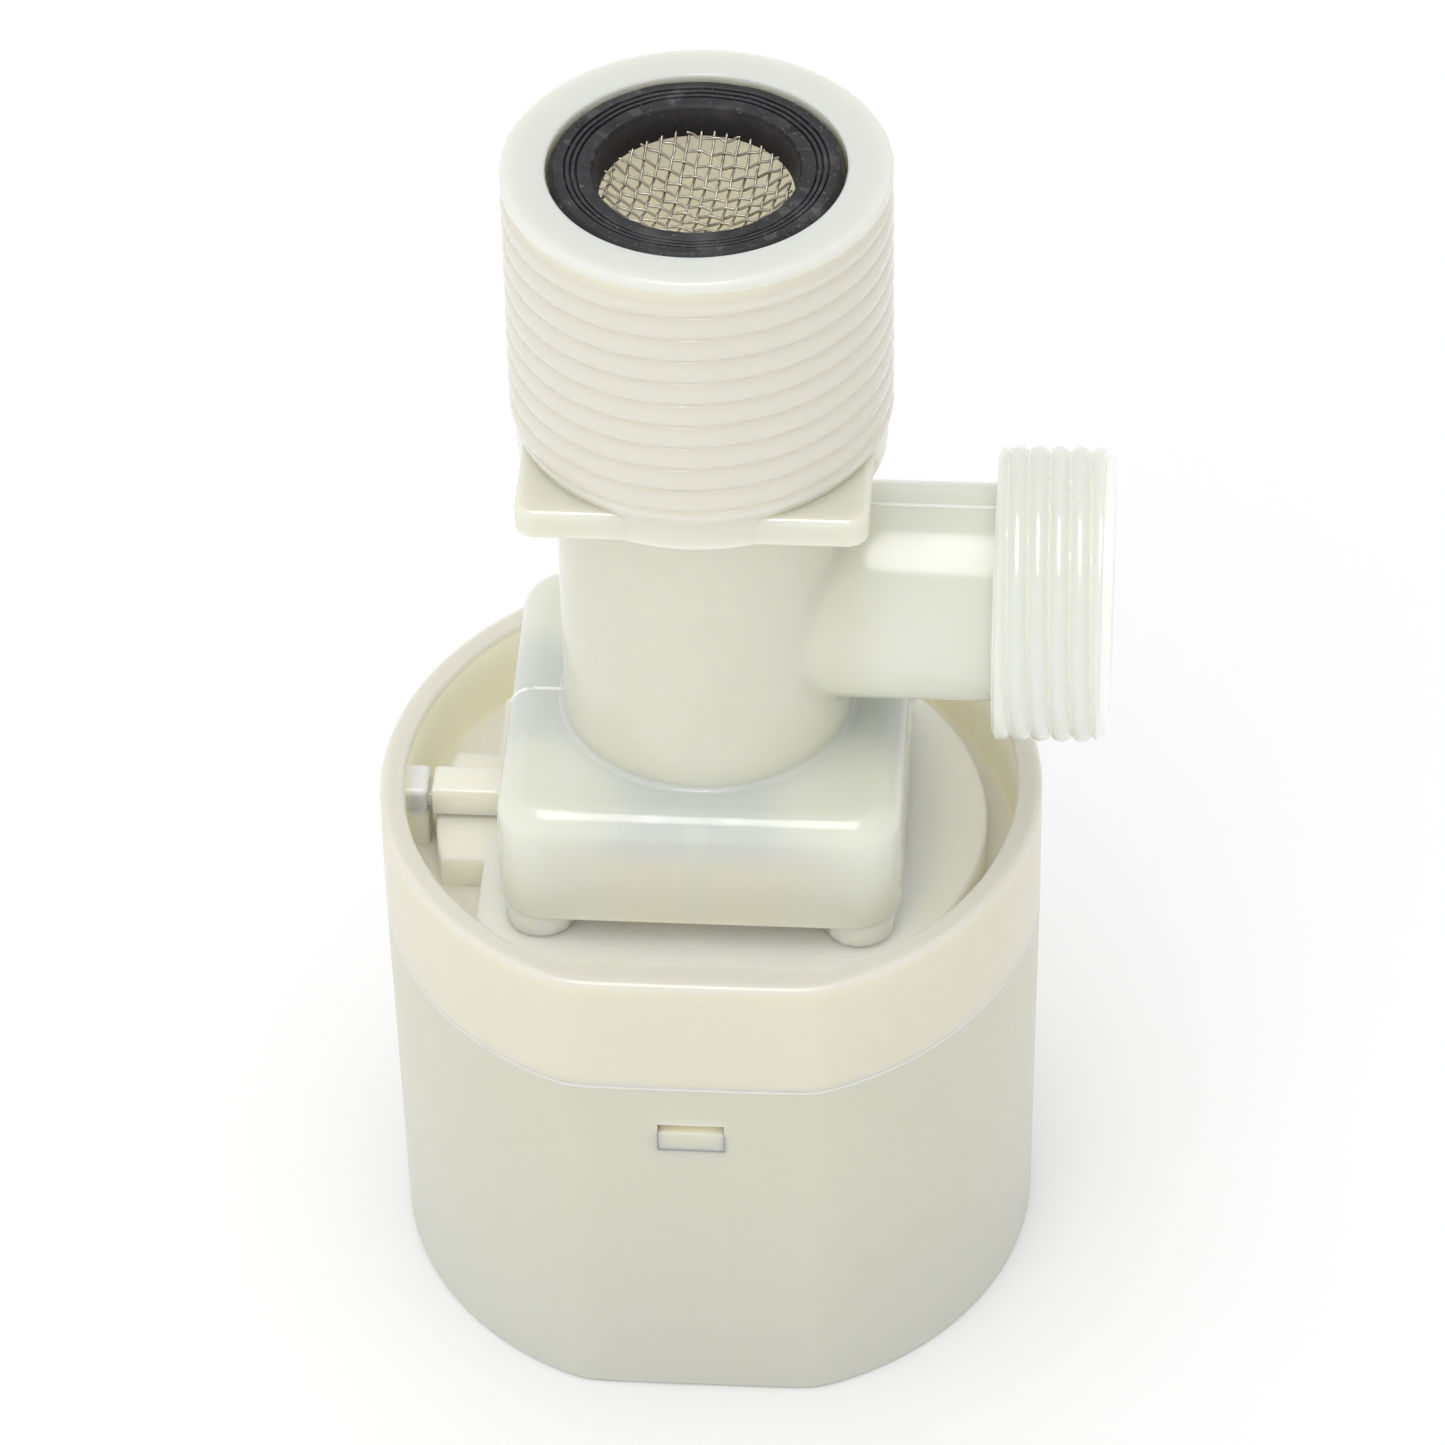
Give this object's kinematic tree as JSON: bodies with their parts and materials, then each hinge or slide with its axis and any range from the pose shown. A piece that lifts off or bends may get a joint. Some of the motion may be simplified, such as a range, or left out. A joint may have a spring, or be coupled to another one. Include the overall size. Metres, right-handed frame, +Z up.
{
  "type": "float valve",
  "caption": "Tank float valve: threaded inlet with screened washer on top, threaded side outlet, diaphragm pilot valve in a square cap, and a float barrel that shuts the pilot by a lever.",
  "frame": {"origin": "centre of the flat underside of the float barrel, on the valve's main axis, with the valve shut", "axes": "+Z up the main axis to the threaded inlet, +X along the threaded side outlet, the barrel's two flats facing -Y and +Y"},
  "size_m": [0.0659, 0.056, 0.1199],
  "materials": {
    "body_nylon": "translucent ivory nylon with a light gloss",
    "inner_nylon": "ivory nylon",
    "collar_nylon": "warm ivory nylon, satin",
    "cup_nylon": "ivory nylon, satin",
    "black_rubber": "matt black rubber, dusty",
    "red_silicone": "matt silicone rubber",
    "stainless_wire": "drawn stainless wire",
    "screw_steel": "bright stainless steel",
    "nozzle_brass": "turned brass",
    "white_foam": "closed-cell foam"
  },
  "bodies": {
    "valve": {"valve_body": "body_nylon", "inlet_washer": "black_rubber", "inlet_strainer": "stainless_wire", "diaphragm": "red_silicone", "closing_spring": "stainless_wire", "bleed_needle": "stainless_wire", "pilot_cover": "inner_nylon", "pilot_nozzle": "nozzle_brass", "cover_screw_1": "screw_steel", "cover_screw_2": "screw_steel", "cover_screw_3": "screw_steel", "cover_screw_4": "screw_steel", "lever_pin": "screw_steel"},
    "core": {"diaphragm_core": "inner_nylon", "backing_nut": "inner_nylon"},
    "lever": {"pilot_lever": "inner_nylon", "pilot_plug": "black_rubber"},
    "float_barrel": {"float_collar": "collar_nylon", "float_cup": "cup_nylon", "float_block": "white_foam"}
  },
  "joints": [
    {"name": "float_slide", "type": "slide", "parent": "valve", "child": "float_barrel", "axis": [0, 0, 1], "range_m": [-0.005, 0]},
    {"name": "lever_hinge", "type": "hinge", "parent": "valve", "child": "lever", "pos_m": [0.006, 0, 0.0454], "axis": [0, 1, 0], "range_deg": [-8.9, 0]},
    {"name": "core_lift", "type": "slide", "parent": "valve", "child": "core", "axis": [0, 0, 1], "range_m": [-0.0015, 0], "stiffness_N_per_m": 150, "springref_m": 0.003, "deforming": ["closing_spring", "diaphragm"]}
  ],
  "couplings": [
    {"joint": "lever_hinge", "follows": "float_slide", "rad_per_m": 31.056}
  ]
}
